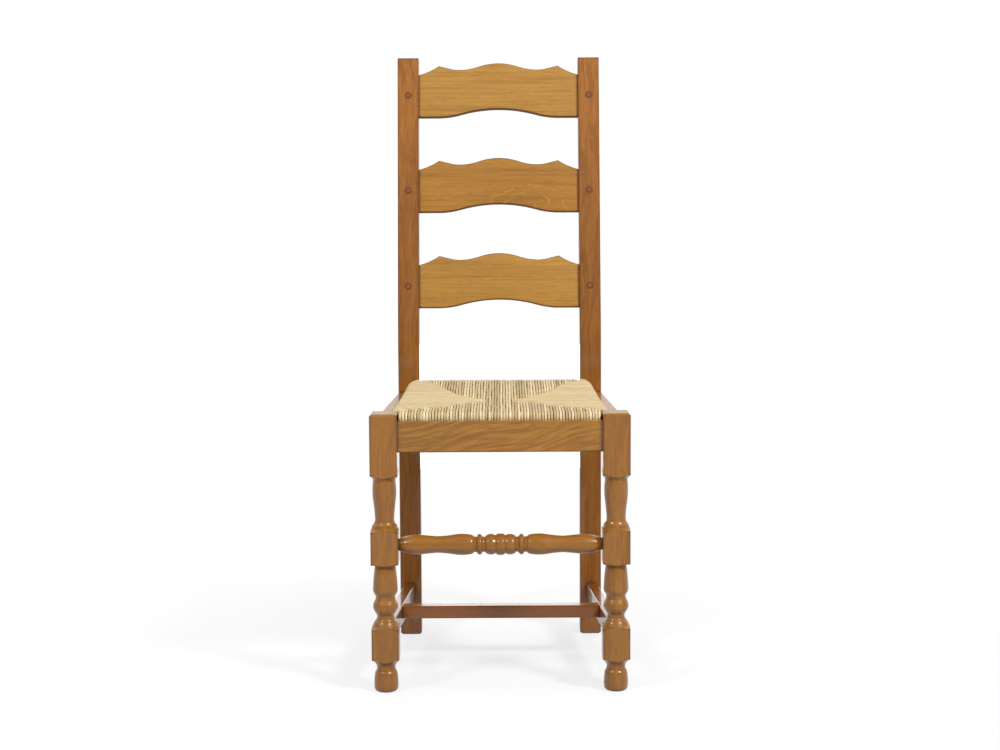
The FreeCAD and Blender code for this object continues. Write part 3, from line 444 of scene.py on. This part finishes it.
# Rush seat, laid out in metres behind the front plane of the chair
STRAND_R = 0.00236
PITCH_FRONT = 0.0048
PITCH_SIDE = 0.0049
SEAT_FRONT = SEAT_LOW.y - FRONT_Y
SEAT_REAR = SEAT_HIGH.y - FRONT_Y
NOTCH = POST_BACK - FRONT_Y + 0.0020
TONGUE = POST_IN - 0.0020
UNDER = SEAT_LOW.z
TOP_REAR = SEAT_HIGH.z + 0.0036
TOP_FRONT = SEAT_HIGH.z - 0.0081
WIDE_FRONT = SEAT_HIGH.x
SEAT_TAPER = 0.0592
WIDE_REAR = WIDE_FRONT - SEAT_TAPER * (SEAT_REAR - NOTCH)
FRONT_SEAM = [(0.0180, 0.1750), (0.0700, 0.1380), (0.0900, 0.1050), (0.1500, 0.0720), (0.1655, 0.0500)]
REAR_SEAM = [(0.0180, 0.1770), (0.0710, 0.2360), (0.1090, 0.3250), (0.1580, 0.3680)]
SEAM_MIDDLE = 0.176
TWIST = 0.026
DIVE = 0.010
STRAND_STEP = 0.012
TUBE_STEP = 0.0036
TUBE_SIDES = 8
WRAP_DEEP = 0.0085
WRAP_STEPS = 12
FRONT_CORNER = 0.050
FRONT_CORNER_IN = 0.0065
REAR_CORNER = 0.034
REAR_CORNER_IN = 0.0130
RISE_START = 0.16
RISE_LONG = 0.20


def seat_half(y):
    """Half width of the rush, drawn in a little at its four corners."""
    share = (y - NOTCH) / (SEAT_REAR - NOTCH)
    front = max(0.0, 1 - (y - NOTCH) / FRONT_CORNER)
    rear = max(0.0, 1 - (SEAT_REAR - y) / REAR_CORNER)
    half = WIDE_FRONT + share * (WIDE_REAR - WIDE_FRONT)
    return half - FRONT_CORNER_IN * front ** 2 - REAR_CORNER_IN * rear ** 2


def top_at(y):
    """Height of the upper layer, which rises gently toward the back."""
    share = min(1.0, max(0.0, (y - RISE_START) / RISE_LONG))
    return TOP_FRONT + (TOP_REAR - TOP_FRONT) * share * share * (3 - 2 * share)


def seam_y(x, seam):
    return float(np.interp(abs(x), [p[0] for p in seam], [p[1] for p in seam]))


def seam_x(y):
    seam = FRONT_SEAM if y < SEAM_MIDDLE else REAR_SEAM
    pairs = sorted((p[1], p[0]) for p in seam)
    return float(np.interp(y, [p[0] for p in pairs], [p[1] for p in pairs]))


def wrap(edge, top, inward):
    """Points of a half turn round a rail: distance from the edge inward, and height."""
    high = top - STRAND_R
    low = UNDER + STRAND_R
    mid = (high + low) / 2
    tall = (high - low) / 2
    points = []
    for i in range(WRAP_STEPS + 1):
        angle = math.pi / 2 - math.pi * i / WRAP_STEPS
        c, s = math.cos(angle), math.sin(angle)
        flat = (abs(c) ** 3.0 + abs(s) ** 3.0) ** (-1 / 3.0)
        points.append((edge + inward * (STRAND_R + WRAP_DEEP - WRAP_DEEP * c * flat), mid + tall * s * flat))
    return points


def resample(points, step):
    points = np.array(points, float)
    gaps = np.linalg.norm(np.diff(points, axis=0), axis=1)
    along = np.concatenate([[0.0], np.cumsum(gaps)])
    count = max(4, int(along[-1] / step))
    places = np.linspace(0.0, along[-1], count)
    return np.stack([np.interp(places, along, points[:, k]) for k in range(3)], axis=1), places


def half_strand(edge, seam, top_of, inward, wobble):
    """Level place and height along one strand, from its seam over the rail and back below."""
    dive = min(DIVE, abs(edge - seam) * 0.45)
    level = seam - inward * dive
    points = [(seam, top_of(seam) - 0.0105)]
    points.append((seam - inward * dive * 0.30, top_of(seam) - STRAND_R - 0.0035))
    points.append((level, top_of(seam) - STRAND_R - 0.0002))
    near_edge = edge + inward * 0.0125
    runs = max(1, int(abs(level - near_edge) / STRAND_STEP))
    for i in range(1, runs):
        place = level + (near_edge - level) * i / runs
        points.append((place, top_of(place) - STRAND_R + wobble * math.sin(i * 1.7)))
    points += wrap(edge, top_of(edge + inward * STRAND_STEP), inward)
    below = UNDER + STRAND_R
    for i in range(1, runs):
        place = near_edge + (level - near_edge) * i / runs
        points.append((place, below + 0.0006 * math.sin(math.pi * i / runs)))
    points.append((seam - inward * dive * 0.4, below + 0.0020))
    points.append((seam, below + 0.0080))
    return points


def strand_paths(rng):
    """Centre lines of all strands: (points, direction) with direction x or y."""
    paths = []
    count = round((TONGUE - STRAND_R) / PITCH_FRONT)
    places = [(i + 0.5) * PITCH_FRONT for i in range(-count, count)]
    inner = FRONT_SEAM[0][0]
    for x in places:
        wobble = rng.uniform(0.0001, 0.0004)
        if abs(x) < inner:
            front = half_strand(SEAT_FRONT, SEAM_MIDDLE - 0.0005, top_at, 1, wobble)[3:-2]
            rear = half_strand(SEAT_REAR, SEAM_MIDDLE + 0.0005, top_at, -1, wobble)[3:-2]
            line = front[::-1] + rear
            paths.append(([(x, y, z) for y, z in line], "y"))
            continue
        seam = seam_y(x, FRONT_SEAM)
        line = half_strand(SEAT_FRONT, seam, top_at, 1, wobble)
        paths.append(([(x, y, z) for y, z in line], "y"))
        if abs(x) < seat_half(SEAT_REAR) - 0.012:
            seam = seam_y(x, REAR_SEAM)
            line = half_strand(SEAT_REAR, seam, top_at, -1, wobble)
            paths.append(([(x, y, z) for y, z in line], "y"))
    rows = int((SEAT_REAR - NOTCH - 2 * STRAND_R) / PITCH_SIDE)
    for i in range(rows + 1):
        y = NOTCH + STRAND_R + 0.0004 + i * PITCH_SIDE
        for side in (-1, 1):
            edge = side * seat_half(y)
            wobble = rng.uniform(0.0001, 0.0004)
            line = half_strand(edge, side * seam_x(y), lambda x, y=y: top_at(y), -side, wobble)
            paths.append(([(x, y, z) for x, z in line], "x"))
    return paths


def add_strand(points, direction, rng, batch):
    """Adds one twisted strand as a closed tube to the lists of a mesh."""
    centre, along = resample(points, TUBE_STEP)
    rise = np.gradient(centre, axis=0)
    rise /= np.linalg.norm(rise, axis=1)[:, None]
    side = np.array([1.0, 0, 0]) if direction == "y" else np.array([0, 1.0, 0])
    other = np.cross(rise, side)
    phase = rng.uniform(0, 6.28)
    sway = 0.00028 * np.sin(along / rng.uniform(0.02, 0.05) + phase)
    centre = centre + side * sway[:, None]
    size = STRAND_R * rng.uniform(0.93, 1.05) * (1 + 0.05 * np.sin(along / 0.011 + phase))
    turn = np.arange(TUBE_SIDES) * 2 * math.pi / TUBE_SIDES
    lobes = 1 + 0.10 * np.cos(2 * turn[None, :] + 2 * math.pi * along[:, None] / TWIST + phase)
    ring = size[:, None] * lobes
    verts = (centre[:, None, :] + ring[:, :, None] * (np.cos(turn)[None, :, None] * side
             + np.sin(turn)[None, :, None] * other[:, None, :]))
    base = batch["count"]
    rows = len(centre)
    batch["verts"].append(verts.reshape(-1, 3))
    batch["tones"].append(np.full(rows * TUBE_SIDES, rng.random()))
    grid = base + np.arange(rows * TUBE_SIDES).reshape(rows, TUBE_SIDES)
    after = np.roll(grid, -1, axis=1)
    quads = np.stack([grid[:-1], after[:-1], after[1:], grid[1:]], axis=2).reshape(-1, 4)
    batch["faces"] += quads.tolist()
    batch["faces"].append(grid[0][::-1].tolist())
    batch["faces"].append(grid[-1].tolist())
    batch["count"] += rows * TUBE_SIDES


def weave():
    """Builds the front-to-back and the side-to-side strands of the seat."""
    rng = random.Random(11)
    paths = strand_paths(rng)
    for direction in ("y", "x"):
        batch = {"verts": [], "faces": [], "tones": [], "count": 0}
        for points, run in paths:
            if run == direction:
                add_strand(points, direction, rng, batch)
        verts = np.concatenate(batch["verts"])
        verts[:, 1] += FRONT_Y
        name = "rush_long_strands" if direction == "y" else "rush_side_strands"
        mesh = bpy.data.meshes.new(name)
        mesh.from_pydata(verts.tolist(), [], batch["faces"])
        mesh.polygons.foreach_set("use_smooth", [True] * len(mesh.polygons))
        tones = mesh.attributes.new("tone", "FLOAT", "POINT")
        tones.data.foreach_set("value", np.concatenate(batch["tones"]).astype(np.float32))
        mesh.validate()
        piece = bpy.data.objects.new(name, mesh)
        scene.collection.objects.link(piece)
        mesh.materials.append(rush(name + "_rush", direction))
        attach(piece, "root")
        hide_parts("rush_seat")


def stuffing_body():
    """Body between the two layers, seen only through the gaps, coloured near black as painted shade."""
    inset = 2 * STRAND_R
    rows = [(SEAT_FRONT + inset, TONGUE - inset), (NOTCH + inset, TONGUE - inset)]
    start = NOTCH + inset + 0.0001
    steps = 24
    for i in range(steps + 1):
        place = start + (SEAT_REAR - inset - start) * i / steps
        rows.append((place, seat_half(place) - inset))
    verts = []
    for place, half in rows:
        high = top_at(place) - inset - 0.0006
        low = UNDER + inset + 0.0006
        verts += [(-half, place + FRONT_Y, low), (half, place + FRONT_Y, low),
                  (half, place + FRONT_Y, high), (-half, place + FRONT_Y, high)]
    faces = [(0, 1, 2, 3)]
    for i in range(len(rows) - 1):
        a = i * 4
        for k in range(4):
            b = (k + 1) % 4
            faces.append((a + k, a + 4 + k, a + 4 + b, a + b))
    last = (len(rows) - 1) * 4
    faces.append((last + 3, last + 2, last + 1, last))
    mesh = bpy.data.meshes.new("rush_stuffing")
    mesh.from_pydata(verts, [], faces)
    mesh.materials.append(stuffing("chopped_rush_in_painted_shade"))
    piece = bpy.data.objects.new("rush_stuffing", mesh)
    scene.collection.objects.link(piece)
    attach(piece, "root")
    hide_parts("rush_seat")


# Studio
FLOOR_HALF = 14.0
FADE_START = 0.35
FADE_END = 0.95


def any_ray(tree, *kinds):
    """One for the named kinds of ray in Light Path, else nought."""
    path = tree.nodes.new("ShaderNodeLightPath")
    found = path.outputs[kinds[0]]
    for kind in kinds[1:]:
        larger = tree.nodes.new("ShaderNodeMath")
        larger.operation = "MAXIMUM"
        tree.links.new(found, larger.inputs[0])
        tree.links.new(path.outputs[kind], larger.inputs[1])
        found = larger.outputs[0]
    return found


def make_floor():
    """Pale paper that keeps the chair's shadow and fades into the backdrop away from it."""
    mesh = bpy.data.meshes.new("floor")
    s = FLOOR_HALF
    mesh.from_pydata([(-s, -s, 0), (s, -s, 0), (s, s, 0), (-s, s, 0)], [], [(0, 1, 2, 3)])
    g = Graph("floor_paper")
    seen = any_ray(g.tree, "Is Camera Ray", "Is Glossy Ray", "Is Transmission Ray")
    g.feed(g.shader.inputs["Base Color"], g.mix(seen, (0.30, 0.29, 0.28), (0.92, 0.92, 0.92)))
    g.shader.inputs["Roughness"].default_value = 0.9
    away = g.add("ShaderNodeVectorMath", operation="LENGTH")
    g.feed(away.inputs[0], g.coords)
    fade = g.add("ShaderNodeMapRange", interpolation_type="SMOOTHSTEP")
    g.feed(fade.inputs["Value"], away.outputs["Value"])
    fade.inputs["From Min"].default_value = FADE_START
    fade.inputs["From Max"].default_value = FADE_END
    fade.inputs["To Min"].default_value = 0.72
    fade.inputs["To Max"].default_value = 1.0
    share = g.math("MULTIPLY", fade.outputs[0], seen)
    glow = g.add("ShaderNodeEmission")
    mixed = g.add("ShaderNodeMixShader")
    g.feed(mixed.inputs[0], share)
    g.feed(mixed.inputs[1], g.shader.outputs[0])
    g.feed(mixed.inputs[2], glow.outputs[0])
    g.feed(g.tree.nodes["Material Output"].inputs["Surface"], mixed.outputs[0])
    mesh.materials.append(g.material)
    floor = bpy.data.objects.new("floor", mesh)
    scene.collection.objects.link(floor)


def area_light(name, place, aim, size, power, mirrored=True):
    data = bpy.data.lights.new(name, "AREA")
    data.shape = "RECTANGLE"
    data.size, data.size_y = size
    data.energy = power
    lamp = bpy.data.objects.new(name, data)
    lamp.location = place
    lamp.rotation_euler = (Vector(aim) - Vector(place)).to_track_quat("-Z", "Y").to_euler()
    lamp.visible_camera = False
    lamp.visible_glossy = mirrored
    scene.collection.objects.link(lamp)


def make_light():
    world = bpy.data.worlds.new("studio")
    world.use_nodes = True
    tree = world.node_tree

    def glow(strength):
        node = tree.nodes.new("ShaderNodeBackground")
        node.inputs["Color"].default_value = (1.0, 1.0, 1.0, 1.0)
        node.inputs["Strength"].default_value = strength
        return node

    def mixed(share, first, second):
        node = tree.nodes.new("ShaderNodeMixShader")
        tree.links.new(share, node.inputs[0])
        tree.links.new(first.outputs[0], node.inputs[1])
        tree.links.new(second.outputs[0], node.inputs[2])
        return node

    # Gloss reflects the bright backdrop behind the chair and the dimmer room before it
    where = tree.nodes.new("ShaderNodeTexCoord")
    split = tree.nodes.new("ShaderNodeSeparateXYZ")
    tree.links.new(where.outputs["Generated"], split.inputs[0])
    depth = tree.nodes.new("ShaderNodeMapRange")
    tree.links.new(split.outputs[1], depth.inputs["Value"])
    depth.inputs["From Min"].default_value = -0.35
    depth.inputs["From Max"].default_value = 0.45
    depth.inputs["To Min"].default_value = 0.16
    depth.inputs["To Max"].default_value = 1.0
    room = glow(1.0)
    tree.links.new(depth.outputs[0], room.inputs["Strength"])
    soft = mixed(any_ray(tree, "Is Glossy Ray"), glow(0.24), room)
    seen = mixed(any_ray(tree, "Is Camera Ray", "Is Transmission Ray"), soft, glow(1.0))
    tree.links.new(seen.outputs[0], tree.nodes["World Output"].inputs[0])
    scene.world = world
    area_light("key", (2.3, -2.2, 2.9), (0, 0, 0.5), (0.6, 0.6), 100)
    area_light("left", (-2.1, -2.1, 2.6), (0, 0, 0.5), (0.45, 0.45), 40)
    area_light("front", (0.2, -3.3, 2.3), (0, 0, 0.6), (2.2, 1.4), 42, mirrored=False)
    area_light("above", (0, 0.1, 3.0), (0, 0, 0.4), (1.6, 1.6), 26, mirrored=False)
    area_light("low_back", (0, 1.0, 0.30), (0, 0, 0.1), (1.6, 0.3), 2.4)


make_camera()
dress_wood()
weave()
stuffing_body()
make_floor()
make_light()
